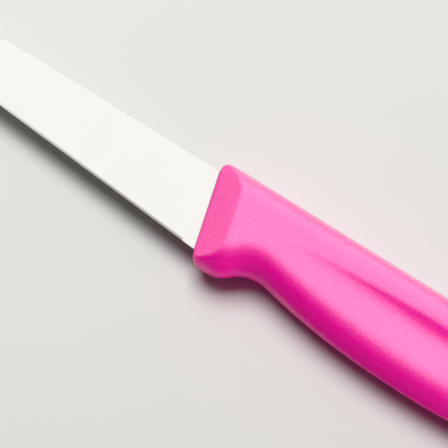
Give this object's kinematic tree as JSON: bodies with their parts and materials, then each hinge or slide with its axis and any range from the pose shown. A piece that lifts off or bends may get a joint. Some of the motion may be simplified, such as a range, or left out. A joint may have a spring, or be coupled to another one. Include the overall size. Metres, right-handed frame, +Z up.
{
  "type": "fruit knife",
  "caption": "Small kitchen knife lying on its side: slim spear-point steel blade with a hidden keyed tang, moulded into a pink contoured plastic handle for peeling and paring.",
  "frame": {"origin": "under the middle of the knife's box, on the surface that it lies on", "axes": "+X from the blade's tip to the handle's butt, +Y from the cutting edge to the back, +Z up, square to the blade's mid-plane"},
  "size_m": [0.19, 0.0228, 0.0124],
  "materials": {
    "blade": "satin ground stainless steel with a finer cutting bevel",
    "handle": "pink moulded plastic with a fine spark-eroded texture and a satin sheen"
  },
  "bodies": {
    "root": {"blade": "blade", "handle": "handle"}
  },
  "joints": []
}
